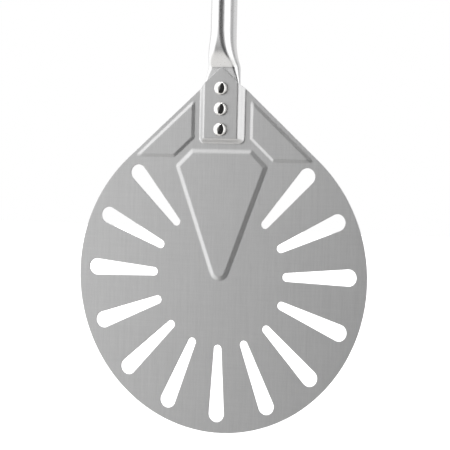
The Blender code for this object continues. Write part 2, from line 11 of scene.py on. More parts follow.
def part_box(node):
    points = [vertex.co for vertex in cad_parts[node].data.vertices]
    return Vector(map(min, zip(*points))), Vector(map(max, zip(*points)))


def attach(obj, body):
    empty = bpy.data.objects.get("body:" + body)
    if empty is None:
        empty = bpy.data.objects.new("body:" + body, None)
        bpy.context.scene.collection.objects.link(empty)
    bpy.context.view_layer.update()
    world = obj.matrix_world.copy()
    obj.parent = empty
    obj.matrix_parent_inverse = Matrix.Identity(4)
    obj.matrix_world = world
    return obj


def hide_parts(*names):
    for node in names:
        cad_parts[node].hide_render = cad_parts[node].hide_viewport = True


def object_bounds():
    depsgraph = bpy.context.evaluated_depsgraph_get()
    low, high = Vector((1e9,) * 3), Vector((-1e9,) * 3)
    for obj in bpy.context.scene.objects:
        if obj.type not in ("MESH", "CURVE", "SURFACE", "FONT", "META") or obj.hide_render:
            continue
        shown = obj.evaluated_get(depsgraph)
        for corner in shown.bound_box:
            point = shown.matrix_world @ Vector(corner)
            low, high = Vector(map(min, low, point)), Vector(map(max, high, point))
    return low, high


MM = 0.001
SAME_PLACE = 1e-6
MERGE_DISTANCE = 1e-7
NEAR_AXIS = 0.01 * MM
EASE_SHARE = 0.45
CUT_SMOOTH_ANGLE = 35

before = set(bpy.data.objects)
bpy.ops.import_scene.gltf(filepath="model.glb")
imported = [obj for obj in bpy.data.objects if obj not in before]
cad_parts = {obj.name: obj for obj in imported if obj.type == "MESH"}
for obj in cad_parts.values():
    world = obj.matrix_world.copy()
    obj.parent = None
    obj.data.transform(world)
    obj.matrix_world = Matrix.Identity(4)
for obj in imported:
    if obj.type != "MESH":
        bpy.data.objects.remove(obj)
CAD_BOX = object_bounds()

# ---------------------------------------------------------------- sizes

# Blade.  Its plan is drawn in (x, z) from the centre of its disc.
BLADE_LOW, BLADE_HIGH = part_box("blade")
BLADE_RADIUS = BLADE_HIGH.x
BLADE_BACK_Y = BLADE_HIGH.y
SHEET_THICKNESS = 1.0 * MM
BLADE_FRONT_Y = BLADE_BACK_Y - SHEET_THICKNESS
SHOULDER_TANGENT = math.radians(48.4)
NECK_TIP_RADIUS = 3 * MM
EDGE_ROUND = 0.22 * MM
EDGE_GUARD = 0.25 * MM
EDGE_STEPS = 3

SLOT_COUNT = 13
SLOT_PITCH = math.radians(23)
SLOT_INNER_AT, SLOT_INNER_RADIUS = 53.2 * MM, 3.1 * MM
SLOT_OUTER_AT, SLOT_OUTER_RADIUS = 100.9 * MM, 6.1 * MM

POCKET_HALF_WIDTH = 18.5 * MM
POCKET_BOTTOM, POCKET_TOP = 97.2 * MM, 175 * MM
POCKET_SIDE_WALL, POCKET_BOTTOM_WALL = 5.6 * MM, 4.6 * MM
POCKET_CORNER, POCKET_NECK_CORNER = 4.4 * MM, 1 * MM
POCKET_HEIGHT = 3.8 * MM

KITE_TOP, KITE_TOP_HALF_WIDTH = 94.0 * MM, 24.2 * MM
KITE_SHOULDER, KITE_HALF_WIDTH = 81.3 * MM, 37.5 * MM
KITE_APEX, KITE_TIP_RADIUS = -18.7 * MM, 8.2 * MM
KITE_CORNER, KITE_WALL, KITE_HEIGHT = 3 * MM, 4.0 * MM, 0.7 * MM

PANEL_INNER_X, PANEL_BEND, PANEL_EDGE_AT = 21.9 * MM, 101 * MM, 112.6 * MM
# The right panel, on side 1, reaches lower than the left.
PANEL_BOTTOMS = {1: 84.4 * MM, -1: 86.7 * MM}
PANEL_FALL = 0.9
PANEL_CORNER = 1.6 * MM
PANEL_WALL, PANEL_HEIGHT = 2.9 * MM, 0.55 * MM

SHARPEST_CORNER = 0.4 * MM
WALL_RINGS = 10
WALL_GUARD = 0.06
LONGEST_STEP = 6 * MM

# Tube.
TUBE_LOW, TUBE_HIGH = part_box("handle_tube")
TUBE_RADIUS, TUBE_WALL = 9.5 * MM, 1.4 * MM
FLAT_END = BLADE_RADIUS + 142 * MM
ROUND_START = BLADE_RADIUS + 183 * MM
FLAT_HALF_THICKNESS = 1.6 * MM
FLAT_FRONT_Y = -1.5 * MM
RISE_START, RISE_END = BLADE_RADIUS + 153 * MM, BLADE_RADIUS + 181 * MM
RISE_START_POWER, RISE_END_POWER = 1.35, 5
SWELL_POWER = 1.15
LONGEST_FLAT_RING, LONGEST_SWELL_RING, LONGEST_ROUND_RING = 6 * MM, 0.7 * MM, 25 * MM

# Rivets.  Their heights are above the centre of the disc.
RIVET_HEIGHTS = {"rivet_lower": 108 * MM, "rivet_middle": 123 * MM, "rivet_upper": 138 * MM}
RIVET_HEAD_RADIUS, RIVET_HEAD_HEIGHT = 4.9 * MM, 2.7 * MM
RIVET_FLATNESS = 3.6
RIVET_SHANK_RADIUS = 2.4 * MM
RIVET_TAIL_RADIUS, RIVET_TAIL_HEIGHT = 3.9 * MM, 1.4 * MM
RIVET_TAIL_CROWN = 0.45
RIVET_HOLE_RADIUS = 2.7 * MM

# Grips.
FIT_GAP = 0.3 * MM
LINER_RADIUS = 11.4 * MM
FLUTE_COUNT = 12
FLUTE_HALF_WIDTH, FLUTE_DEPTH = 2.0 * MM, 0.9 * MM
# Flutes sink only the points that are this near the grip's surface.
FLUTE_SKIN = 0.5 * MM
COLLAR_CHAMFER, COLLAR_EASE = 1.5 * MM, 0.8 * MM
COLLAR_SOCKET_RADIUS, COLLAR_SOCKET_DEPTH = 1.1 * MM, 2 * MM
COLLAR_SCREW_RIM, COLLAR_SCREW_POINT = 0.3 * MM, 0.8 * MM
FLANGE_CHAMFER, FLANGE_EASE = 0.8 * MM, 0.5 * MM
GRIP_EASE, GRIP_LONGEST_STEP = 2.5 * MM, 1 * MM
SLEEVE_GRIP_TAPER = 9 * MM
REAR_GRIP_LOW, REAR_GRIP_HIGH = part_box("rear_grip")
REAR_GRIP_BOTTOM, REAR_GRIP_TOP = REAR_GRIP_LOW.z, REAR_GRIP_HIGH.z
REAR_GRIP_RADIUS, REAR_GRIP_TAPER = 15.6 * MM, 6 * MM
WAIST_RADIUS = REAR_GRIP_RADIUS - 1.4 * MM
WAIST_AT, WAIST_END = REAR_GRIP_BOTTOM + 12 * MM, REAR_GRIP_BOTTOM + 26 * MM
GUARD_RADIUS, GUARD_CHAMFER = REAR_GRIP_HIGH.x, 3 * MM
GUARD_END = REAR_GRIP_BOTTOM + 5 * MM
REAR_FLUTE_START, REAR_FLUTE_END = REAR_GRIP_BOTTOM + 32 * MM, REAR_GRIP_TOP - 24 * MM
STEM_RADIUS = TUBE_RADIUS - TUBE_WALL - FIT_GAP
CAP_RADIUS, CAP_DOME_HEIGHT, CAP_EASE = 15 * MM, 6 * MM, 1.6 * MM
# The corners of the dome, as inset from the cap's radius and drop from its top.
CAP_DOME_STEPS = ((6 * MM, 0), (2 * MM, 2 * MM), (0, 5 * MM))
EYE_ROOT, EYE_EASE = 3 * MM, 1.1 * MM
EYE_EASE_MIDDLE, EYE_BORE_EASE = 0.3, 0.6
EYE_CENTRE, EYE_RADIUS = 815 * MM, 8.5 * MM
EYE_HOLE_RADIUS, EYE_THICKNESS = 3.6 * MM, 7 * MM
RING_RADIUS, RING_WIRE_RADIUS = 14 * MM, 1.6 * MM
WELD_SWELL, WELD_SPREAD = 0.06 * MM, 0.07
CAP_SCREW_HEAD_RADIUS, CAP_SCREW_RADIUS = 3 * MM, 1.5 * MM
CAP_SCREW_HEAD_BEVEL, CAP_SCREW_HEAD_RIM = 0.2 * MM, 0.15 * MM
DRIVER_SLOT_HALF_LENGTH, DRIVER_SLOT_HALF_WIDTH = 2.0 * MM, 0.4 * MM
DRIVER_SLOT_DEPTH = 0.8 * MM

# Camera.
CAMERA_PLACE = (0.5825, -1.3158, 0.1991)
CAMERA_AZIMUTH, CAMERA_ELEVATION, CAMERA_ROLL = 23.72, 1.83, 1.27
CAMERA_LENS, CAMERA_SENSOR = 157.2, 36.0

# Studio light.  Azimuths and elevations are in degrees, from the front and from the level.
# Each pair is where a light or a dark begins and where it is full.
SOFTBOX_NEAR_EDGE, SOFTBOX_FAR_EDGE = (-23.5, -28.5), (-114, -100)
SOFTBOX_LEAN = -0.28
STRIP_NEAR_EDGE, STRIP_FAR_EDGE = (20, 27), (86, 78)
BESIDE, BEHIND_RIGHT, BEHIND_LEFT = (82, 92), (108, 124), (-90, -100)
OVERHEAD, GROUND = (58, 75), (-24, -34)
AHEAD_LEFT, AHEAD_RIGHT, AHEAD_REACH = (-27, -14), (46, 34), 22
DARK_STRENGTH, BESIDE_STRENGTH, BEHIND_STRENGTH = 0.03, 0.38, 0.72
SOFTBOX_STRENGTH, STRIP_STRENGTH = 1.30, 1.35
OVERHEAD_STRENGTH, GROUND_STRENGTH = 0.35, 0.80
WHITE, GROUND_TINT = (1, 1, 1, 1), (1, 0.985, 0.965, 1)

LAMP_SIZE, LAMP_POWER, LAMP_REACH = 0.16, 3, 1.6
LAMP_AZIMUTH, LAMP_ELEVATION = math.radians(-6), math.radians(60)
FLOOR_SIZE, FLOOR_DROP = 8, 0.5 * MM


# ---------------------------------------------------------------- material helpers

def add_node(tree, kind, **settings):
    node = tree.nodes.new(kind)
    for name, value in settings.items():
        setattr(node, name, value)
    return node


def feed(tree, value, socket):
    """Sets an input socket to a number or vector, or links it to an output socket."""
    if isinstance(value, bpy.types.NodeSocket):
        tree.links.new(value, socket)
    else:
        socket.default_value = value


def maths(tree, operation, *values):
    node = add_node(tree, "ShaderNodeMath", operation=operation)
    for value, socket in zip(values, node.inputs):
        feed(tree, value, socket)
    return node.outputs[0]


def ramp_up(tree, value, low, high):
    """0 below low, 1 above high, and smooth between them; high below low turns it round."""
    node = add_node(tree, "ShaderNodeMapRange", interpolation_type="SMOOTHSTEP")
    feed(tree, value, node.inputs["Value"])
    if low < high:
        ends = (low, high, 0, 1)
    else:
        ends = (high, low, 1, 0)
    for end, name in zip(ends, ("From Min", "From Max", "To Min", "To Max")):
        node.inputs[name].default_value = end
    return node.outputs["Result"]


def blend_values(tree, share, low, high):
    node = add_node(tree, "ShaderNodeMix", data_type="FLOAT")
    feed(tree, share, node.inputs[0])
    feed(tree, low, node.inputs[2])
    feed(tree, high, node.inputs[3])
    return node.outputs[0]


def blend_colours(tree, share, low, high):
    node = add_node(tree, "ShaderNodeMix", data_type="RGBA")
    feed(tree, share, node.inputs[0])
    feed(tree, low, node.inputs[6])
    feed(tree, high, node.inputs[7])
    return node.outputs[2]


def grain(tree, per_metre, detail=3.0, roughness=0.6):
    """Noise between 0 and 1 with the given number of features a metre along each axis."""
    place = add_node(tree, "ShaderNodeTexCoord")
    scale = add_node(tree, "ShaderNodeMapping")
    scale.inputs["Scale"].default_value = per_metre
    noise = add_node(tree, "ShaderNodeTexNoise")
    noise.inputs["Scale"].default_value = 1
    noise.inputs["Detail"].default_value = detail
    noise.inputs["Roughness"].default_value = roughness
    tree.links.new(place.outputs["Object"], scale.inputs["Vector"])
    tree.links.new(scale.outputs["Vector"], noise.inputs["Vector"])
    return noise.outputs["Fac"]


def swing(tree, noise, middle, amount):
    """A value that varies by amount either side of middle."""
    centred = maths(tree, "SUBTRACT", noise, 0.5)
    return maths(tree, "MULTIPLY_ADD", centred, 2 * amount, middle)


def bump(tree, shader, height, strength, distance):
    node = add_node(tree, "ShaderNodeBump")
    node.inputs["Strength"].default_value = strength
    node.inputs["Distance"].default_value = distance
    tree.links.new(height, node.inputs["Height"])
    tree.links.new(node.outputs["Normal"], shader.inputs["Normal"])


def new_finish(name, metallic, specular=0.5):
    material = bpy.data.materials.new(name)
    material.use_nodes = True
    tree = material.node_tree
    shader = tree.nodes["Principled BSDF"]
    shader.inputs["Metallic"].default_value = metallic
    shader.inputs["Specular IOR Level"].default_value = specular
    return material, tree, shader


def grey_colour(tree, value, tint=(1, 1, 1)):
    node = add_node(tree, "ShaderNodeCombineColor")
    for factor, name in zip(tint, ("Red", "Green", "Blue")):
        feed(tree, maths(tree, "MULTIPLY", value, factor), node.inputs[name])
    return node.outputs[0]


# ---------------------------------------------------------------- finishes

def brushed_sheet():
    """Satin sheet with fine vertical lines, a weaker cross grain and slight cloudiness."""
    material, tree, shader = new_finish("blade_sheet", metallic=1)
    lines = grain(tree, per_metre=(700, 700, 22))
    fine = grain(tree, per_metre=(2400, 2400, 160), detail=2)
    across = grain(tree, per_metre=(40, 700, 1100), detail=2)
    cloud = grain(tree, per_metre=(30, 30, 30), detail=2)
    value = swing(tree, lines, middle=0.70, amount=0.050)
    value = maths(tree, "ADD", value, swing(tree, fine, middle=0, amount=0.045))
    value = maths(tree, "ADD", value, swing(tree, across, middle=0, amount=0.030))
    value = maths(tree, "ADD", value, swing(tree, cloud, middle=0, amount=0.015))
    feed(tree, grey_colour(tree, value), shader.inputs["Base Color"])
    feed(tree, swing(tree, fine, middle=0.37, amount=0.05), shader.inputs["Roughness"])
    shader.inputs["Anisotropic"].default_value = 0.35
    across_grain = add_node(tree, "ShaderNodeCombineXYZ")
    across_grain.inputs["X"].default_value = 1
    feed(tree, across_grain.outputs[0], shader.inputs["Tangent"])
    bump(tree, shader, maths(tree, "ADD", lines, fine), strength=0.10, distance=0.02 * MM)
    return material


def satin_tube():
    """Polished and anodised tube: bright, with a fine sparkle where it reflects the dark."""
    material, tree, shader = new_finish("tube_satin", metallic=1)
    speck = grain(tree, per_metre=(1500, 1500, 1100), detail=2)
    drawn = grain(tree, per_metre=(900, 900, 12), detail=2)
    value = swing(tree, speck, middle=0.90, amount=0.05)
    feed(tree, grey_colour(tree, value), shader.inputs["Base Color"])
    rough = swing(tree, speck, middle=0.30, amount=0.08)
    rough = maths(tree, "ADD", rough, swing(tree, drawn, middle=0, amount=0.03))
    feed(tree, rough, shader.inputs["Roughness"])
    bump(tree, shader, speck, strength=0.12, distance=0.03 * MM)
    return material


def bright_rivet():
    material, tree, shader = new_finish("rivet_bright", metallic=1)
    wear = grain(tree, per_metre=(420, 420, 420), detail=4)
    value = swing(tree, wear, middle=0.88, amount=0.03)
    feed(tree, grey_colour(tree, value, tint=(1, 0.99, 0.97)), shader.inputs["Base Color"])
    feed(tree, swing(tree, wear, middle=0.06, amount=0.03), shader.inputs["Roughness"])
    bump(tree, shader, wear, strength=0.04, distance=0.05 * MM)
    return material


def zinc_plate():
    material, tree, shader = new_finish("zinc_plate", metallic=1)
    patch = grain(tree, per_metre=(600, 600, 600))
    value = swing(tree, patch, middle=0.62, amount=0.06)
    feed(tree, grey_colour(tree, value, tint=(0.98, 0.99, 1)), shader.inputs["Base Color"])
    feed(tree, swing(tree, patch, middle=0.3, amount=0.08), shader.inputs["Roughness"])
    bump(tree, shader, patch, strength=0.1, distance=0.05 * MM)
    return material


def ring_wire():
    material, tree, shader = new_finish("ring_wire", metallic=1)
    rub = grain(tree, per_metre=(300, 300, 300), detail=4)
    value = swing(tree, rub, middle=0.78, amount=0.05)
    feed(tree, grey_colour(tree, value), shader.inputs["Base Color"])
    feed(tree, swing(tree, rub, middle=0.16, amount=0.07), shader.inputs["Roughness"])
    bump(tree, shader, rub, strength=0.06, distance=0.05 * MM)
    return material


def black_nylon():
    """Moulded plastic with a fine spark-eroded texture."""
    material, tree, shader = new_finish("black_nylon", metallic=0, specular=0.45)
    spark = grain(tree, per_metre=(2200, 2200, 2200), detail=2)
    cloud = grain(tree, per_metre=(60, 60, 60))
    value = swing(tree, cloud, middle=0.028, amount=0.006)
    feed(tree, grey_colour(tree, value, tint=(1, 1, 1.04)), shader.inputs["Base Color"])
    feed(tree, swing(tree, spark, middle=0.44, amount=0.08), shader.inputs["Roughness"])
    bump(tree, shader, spark, strength=0.25, distance=0.06 * MM)
    return material


def grip_rubber():
    """Matt rubber with a stipple and a little dust."""
    material, tree, shader = new_finish("grip_rubber", metallic=0, specular=0.35)
    stipple = grain(tree, per_metre=(1300, 1300, 1300), detail=2, roughness=0.5)
    dust = grain(tree, per_metre=(90, 90, 90), detail=5)
    value = swing(tree, dust, middle=0.021, amount=0.008)
    feed(tree, grey_colour(tree, value), shader.inputs["Base Color"])
    feed(tree, swing(tree, dust, middle=0.68, amount=0.08), shader.inputs["Roughness"])
    bump(tree, shader, stipple, strength=0.5, distance=0.12 * MM)
    return material


# ---------------------------------------------------------------- shape helpers

def smoothstep(t):
    t = min(max(t, 0), 1)
    return t * t * (3 - 2 * t)


def arc(centre, radius, start, end, steps):
    angles = [start + (end - start) * i / steps for i in range(steps + 1)]
    return [centre + radius * Vector((math.cos(a), math.sin(a))) for a in angles]


def line_meet(point_a, along_a, point_b, along_b):
    return point_a + along_a * ((point_b - point_a).cross(along_b) / along_a.cross(along_b))


def inset_corners(corners, walls):
    """A convex, anticlockwise outline whose edge i moves inwards by walls[i]."""
    edges = []
    for i, start in enumerate(corners):
        along = (corners[(i + 1) % len(corners)] - start).normalized()
        edges.append((start + Vector((-along.y, along.x)) * walls[i], along))
    return [line_meet(*edges[i - 1], *edges[i]) for i in range(len(edges))]


def rounded(corners, radii, steps=8):
    """A convex, anticlockwise outline with each corner replaced by an arc."""
    points = []
    for i, corner in enumerate(corners):
        before = (corner - corners[i - 1]).normalized()
        after = (corners[(i + 1) % len(corners)] - corner).normalized()
        turn = before.angle(after)
        centre = corner - before * radii[i] * math.tan(turn / 2)
        centre += Vector((-before.y, before.x)) * radii[i]
        start = math.atan2(-before.x, before.y)
        points += arc(centre, radii[i], start, start + turn, steps)
    return points


def filleted(points, radius, steps=4):
    """A closed profile whose corners are rounded, each by no more than its edges allow."""
    result = []
    for i, corner in enumerate(points):
        before = corner - points[i - 1]
        after = points[(i + 1) % len(points)] - corner
        room = EASE_SHARE * min(before.length, after.length)
        start = corner - before.normalized() * min(radius, room)
        end = corner + after.normalized() * min(radius, room)
        for k in range(steps + 1):
            t = k / steps
            result.append(start * (1 - t) ** 2 + corner * 2 * t * (1 - t) + end * t ** 2)
    return result


def finish_mesh(name, body, finish, smooth_angle=40):
    bmesh.ops.recalc_face_normals(body, faces=body.faces)
    mesh = bpy.data.meshes.new(name)
    body.to_mesh(mesh)
    body.free()
    mesh.materials.append(finish)
    mesh.shade_smooth()
    mesh.set_sharp_from_angle(angle=math.radians(smooth_angle))
    piece = bpy.data.objects.new(name, mesh)
    bpy.context.scene.collection.objects.link(piece)
    return piece


def skin(body, loops, closed):
    """Quads between neighbouring loops of equal length; closed joins the last to the first."""
    pairs = list(zip(loops, loops[1:]))
    if closed:
        pairs.append((loops[-1], loops[0]))
    for low, high in pairs:
        for i in range(len(low)):
            j = (i + 1) % len(low)
            body.faces.new((low[i], low[j], high[j], high[i]))


def turned(name, profile, finish, steps=96, closed=True, radius_at=None):
    """A (radius, height) profile turned about Z.  An open profile runs from pole to pole."""
    body = bmesh.new()
    radius_at = radius_at or (lambda radius, angle, height: radius)
    rows = profile if closed else profile[1:-1]
    loops = []
    for radius, height in rows:
        loop = []
        for i in range(steps):
            angle = 2 * math.pi * i / steps
            reach = radius_at(radius, angle, height)
            loop.append(body.verts.new((reach * math.cos(angle), reach * math.sin(angle), height)))
        loops.append(loop)
    skin(body, loops, closed)
    if not closed:
        for loop, pole in ((loops[0], profile[0]), (loops[-1], profile[-1])):
            tip = body.verts.new((0, 0, pole[1]))
            for i in range(steps):
                body.faces.new((loop[i], loop[(i + 1) % steps], tip))
    return finish_mesh(name, body, finish)


def place_on_body(piece, body, slot, *nodes):
    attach(piece, body)
    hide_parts(*nodes)


def divided(heights, longest):
    """The heights with extra ones between them, so that no step is longer than that."""
    result = [heights[0]]
    for low, high in zip(heights, heights[1:]):
        steps = max(1, math.ceil(abs(high - low) / longest))
        result += [low + (high - low) * (i + 1) / steps for i in range(steps)]
    return result


# ---------------------------------------------------------------- blade

def blade_outline(inset):
    left, right = math.pi - SHOULDER_TANGENT, SHOULDER_TANGENT
    disc = arc(Vector((0, 0)), BLADE_RADIUS - inset, left, right + 2 * math.pi,
               steps=300)
    tip_centre = Vector((0, (BLADE_RADIUS - NECK_TIP_RADIUS) / math.sin(SHOULDER_TANGENT)))
    return disc + arc(tip_centre, NECK_TIP_RADIUS - inset, right, left, steps=16)


def slot_outline(angle, inset):
    outwards = Vector((math.cos(angle), math.sin(angle)))
    lean = math.asin((SLOT_OUTER_RADIUS - SLOT_INNER_RADIUS) / (SLOT_OUTER_AT - SLOT_INNER_AT))
    side = math.pi / 2 + lean
    outer = arc(outwards * SLOT_OUTER_AT, SLOT_OUTER_RADIUS + inset,
                angle - side, angle + side, steps=28)
    inner = arc(outwards * SLOT_INNER_AT, SLOT_INNER_RADIUS + inset,
                angle + side, angle + 2 * math.pi - side, steps=18)
    return outer + inner


def hole_outline(height, inset):
    return arc(Vector((0, height)), RIVET_HOLE_RADIUS + inset, 0, 2 * math.pi, steps=32)[:-1]


def pressings():
    """Each pressed field as (foot outline, field outline, height)."""
    def walled(corners, walls, radii, height):
        foot = rounded(corners, radii)
        thinnest = min(wall for wall in walls if wall)
        field_radii = [max(radius - thinnest, SHARPEST_CORNER) for radius in radii]
        return foot, rounded(inset_corners(corners, walls), field_radii), height

    half = POCKET_HALF_WIDTH
    pocket = [Vector(p) for p in ((-half, POCKET_BOTTOM), (half, POCKET_BOTTOM),
                                  (half, POCKET_TOP), (-half, POCKET_TOP))]
    kite = [Vector(p) for p in (
        (0, KITE_APEX), (KITE_HALF_WIDTH, KITE_SHOULDER), (KITE_TOP_HALF_WIDTH, KITE_TOP),
        (-KITE_TOP_HALF_WIDTH, KITE_TOP), (-KITE_HALF_WIDTH, KITE_SHOULDER))]
    shapes = [
        walled(pocket, (POCKET_BOTTOM_WALL, POCKET_SIDE_WALL, 0, POCKET_SIDE_WALL),
               2 * (POCKET_CORNER,) + 2 * (POCKET_NECK_CORNER,), POCKET_HEIGHT),
        walled(kite, 5 * (KITE_WALL,), (KITE_TIP_RADIUS,) + 4 * (KITE_CORNER,), KITE_HEIGHT),
    ]
    cos, sin = math.cos(SHOULDER_TANGENT), math.sin(SHOULDER_TANGENT)
    top_z = (PANEL_EDGE_AT - PANEL_INNER_X * cos) / sin
    for side, bottom in PANEL_BOTTOMS.items():
        low_x = PANEL_INNER_X + (PANEL_BEND - bottom) / PANEL_FALL
        far_x = (PANEL_EDGE_AT - bottom * sin) / cos
        panel = ((low_x, bottom), (far_x, bottom), (PANEL_INNER_X, top_z),
                 (PANEL_INNER_X, PANEL_BEND))
        corners = [Vector((side * x, z)) for x, z in panel][::side]
        shapes.append(walled(corners, 4 * (PANEL_WALL,), 4 * (PANEL_CORNER,), PANEL_HEIGHT))
    return shapes


def pocket_side_height(point):
    """How far the pocket stands proud, above its bottom corners."""
    if point.y < POCKET_BOTTOM + POCKET_BOTTOM_WALL:
        return 0
    return POCKET_HEIGHT * smoothstep((POCKET_HALF_WIDTH - abs(point.x)) / POCKET_SIDE_WALL)


def inside(point, outline):
    crossings = False
    for a, b in zip(outline, outline[1:] + outline[:1]):
        if (a.y > point.y) != (b.y > point.y):
            if point.x < a.x + (b.x - a.x) * (point.y - a.y) / (b.y - a.y):
                crossings = not crossings
    return crossings


def with_even_steps(foot, loop):
    """The loop with points added on its straight stretches, as many as the foot needs."""
    result = []
    for i, point in enumerate(loop):
        after = loop[(i + 1) % len(loop)]
        steps = max(1, math.ceil((foot[(i + 1) % len(foot)] - foot[i]).length / LONGEST_STEP))
        result += [point.lerp(after, k / steps) for k in range(steps)]
    return result


def blade_plan():
    """Triangles that follow every outline and wall, as (points, heights, triangles)."""
    points, edges, ring_heights = [], [], {}

    def add_loop(loop, height=None):
        start = len(points)
        for i, point in enumerate(loop):
            if height is not None:
                ring_heights[len(points)] = height
            points.append(point)
            edges.append((start + i, start + (i + 1) % len(loop)))

    first = -math.pi / 2 - SLOT_PITCH * (SLOT_COUNT - 1) / 2
    slot_angles = [first + SLOT_PITCH * i for i in range(SLOT_COUNT)]
    outline = blade_outline(EDGE_ROUND)
    openings = [slot_outline(angle, EDGE_ROUND) for angle in slot_angles]
    openings += [hole_outline(height, EDGE_ROUND) for height in RIVET_HEIGHTS.values()]
    for loop in [outline] + openings:
        add_loop(loop)
    inset = EDGE_ROUND + EDGE_GUARD
    add_loop(blade_outline(inset))
    for angle in slot_angles:
        add_loop(slot_outline(angle, inset))
    for height in RIVET_HEIGHTS.values():
        add_loop(hole_outline(height, inset))
    for foot, field, height in pressings():
        shares = [-WALL_GUARD] + [i / WALL_RINGS for i in range(WALL_RINGS + 1)]
        for share in shares + [1 + WALL_GUARD]:
            ring = [a.lerp(b, share) for a, b in zip(foot, field)]
            add_loop(with_even_steps(foot, ring), height * smoothstep(share))

    plan = delaunay_2d_cdt(points, edges, [], 0, MERGE_DISTANCE)
    places, triangles, sources = plan[0], plan[2], plan[3]
    heights = []
    for place, source in zip(places, sources):
        known = [ring_heights[i] for i in source if i in ring_heights]
        heights.append(known[0] if known else pocket_side_height(place))

    kept = []
    for triangle in triangles:
        middle = (places[triangle[0]] + places[triangle[1]] + places[triangle[2]]) / 3
        if not inside(middle, outline):
            continue
        # No opening is as long as this, so one farther away can't hold the triangle.
        near = [loop for loop in openings if (loop[0] - middle).length < SLOT_OUTER_AT]
        if not any(inside(middle, loop) for loop in near):
            kept.append(triangle)
    return places, heights, kept


def boundary_loops(triangles):
    directed = {(t[i], t[(i + 1) % 3]) for t in triangles for i in range(3)}
    following = {a: b for a, b in directed if (b, a) not in directed}
    loops = []
    while following:
        loop = [next(iter(sorted(following)))]
        while loop[-1] in following:
            loop.append(following.pop(loop[-1]))
        loops.append(loop[:-1])
    return loops


def make_blade(finish):
    places, heights, triangles = blade_plan()
    body = bmesh.new()

    def vertex(place, y):
        return body.verts.new((place.x, y, BLADE_RADIUS + place.y))

    used = sorted({i for triangle in triangles for i in triangle})
    front = {i: vertex(places[i], BLADE_FRONT_Y - heights[i]) for i in used}
    back = {i: vertex(places[i], BLADE_BACK_Y - heights[i]) for i in used}
    for a, b, c in triangles:
        body.faces.new((front[a], front[b], front[c]))
        body.faces.new((back[c], back[b], back[a]))

    quarter = [math.pi / 2 * i / EDGE_STEPS for i in range(1, EDGE_STEPS + 1)]
    for loop in boundary_loops(triangles):
        outwards = []
        for i in range(len(loop)):
            along = places[loop[(i + 1) % len(loop)]] - places[loop[i - 1]]
            outwards.append(Vector((along.y, -along.x)).normalized())
        rows = [[front[i] for i in loop]]
        for from_front, angles in ((True, quarter), (False, quarter[::-1])):
            for angle in angles:
                row = []
                for i, way in zip(loop, outwards):
                    drop = EDGE_ROUND * (1 - math.cos(angle))
                    y = BLADE_FRONT_Y + drop if from_front else BLADE_BACK_Y - drop
                    row.append(vertex(places[i] + way * EDGE_ROUND * math.sin(angle),
                                      y - heights[i]))
                rows.append(row)
        rows.append([back[i] for i in loop])
        skin(body, rows, False)
    blade = finish_mesh("blade_fine", body, finish, smooth_angle=50)
    place_on_body(blade, "peel", "blade_steel", "blade")


# ---------------------------------------------------------------- tube

def tube_section(height, wall_inset):
    """One cross-section of the tube: a flat-sided oval that grows from flat to round.

    The wall keeps its length as it is pressed, so the oval is widest where it is thinnest.
    The front face stays flat behind the blade and only then rises to the round tube's front.
    """
    share = min(max((height - FLAT_END) / (ROUND_START - FLAT_END), 0), 1)
    eased = math.sin(math.pi / 2 * share) ** SWELL_POWER
    lobe = FLAT_HALF_THICKNESS + (TUBE_RADIUS - FLAT_HALF_THICKNESS) * eased
    middle_wall = 2 * math.pi * (TUBE_RADIUS - TUBE_WALL / 2)
    straight = (middle_wall - 2 * math.pi * (lobe - TUBE_WALL / 2)) / 4
    climb = min(max((height - RISE_START) / (RISE_END - RISE_START), 0), 1)
    risen = 1 - (1 - climb ** RISE_START_POWER) ** RISE_END_POWER
    mid_y = FLAT_FRONT_Y + (-TUBE_RADIUS - FLAT_FRONT_Y) * risen + lobe

    lobe -= wall_inset
    arc_steps, face_steps = 40, 16
    half = []
    for i in range(arc_steps + 1):
        angle = math.pi / 2 - math.pi * i / arc_steps
        half.append((straight + lobe * math.cos(angle), lobe * math.sin(angle)))
    for i in range(1, face_steps):
        half.append((straight * (1 - 2 * i / face_steps), -lobe))
    other_half = [(-x, -y) for x, y in half]
    return [(x, mid_y + y, height) for x, y in half + other_half]


def make_tube(finish):
    heights = divided([TUBE_LOW.z, FLAT_END], LONGEST_FLAT_RING)
    heights += divided([FLAT_END, ROUND_START], LONGEST_SWELL_RING)[1:]
    heights += divided([ROUND_START, TUBE_HIGH.z], LONGEST_ROUND_RING)[1:]
    body = bmesh.new()
    rings = [tube_section(z, 0) for z in heights]
    rings += [tube_section(z, TUBE_WALL) for z in reversed(heights)]
    skin(body, [[body.verts.new(point) for point in ring] for ring in rings], True)
    tube = finish_mesh("tube_fine", body, finish, smooth_angle=50)
    place_on_body(tube, "peel", "tube_aluminium", "handle_tube")


# ---------------------------------------------------------------- rivets

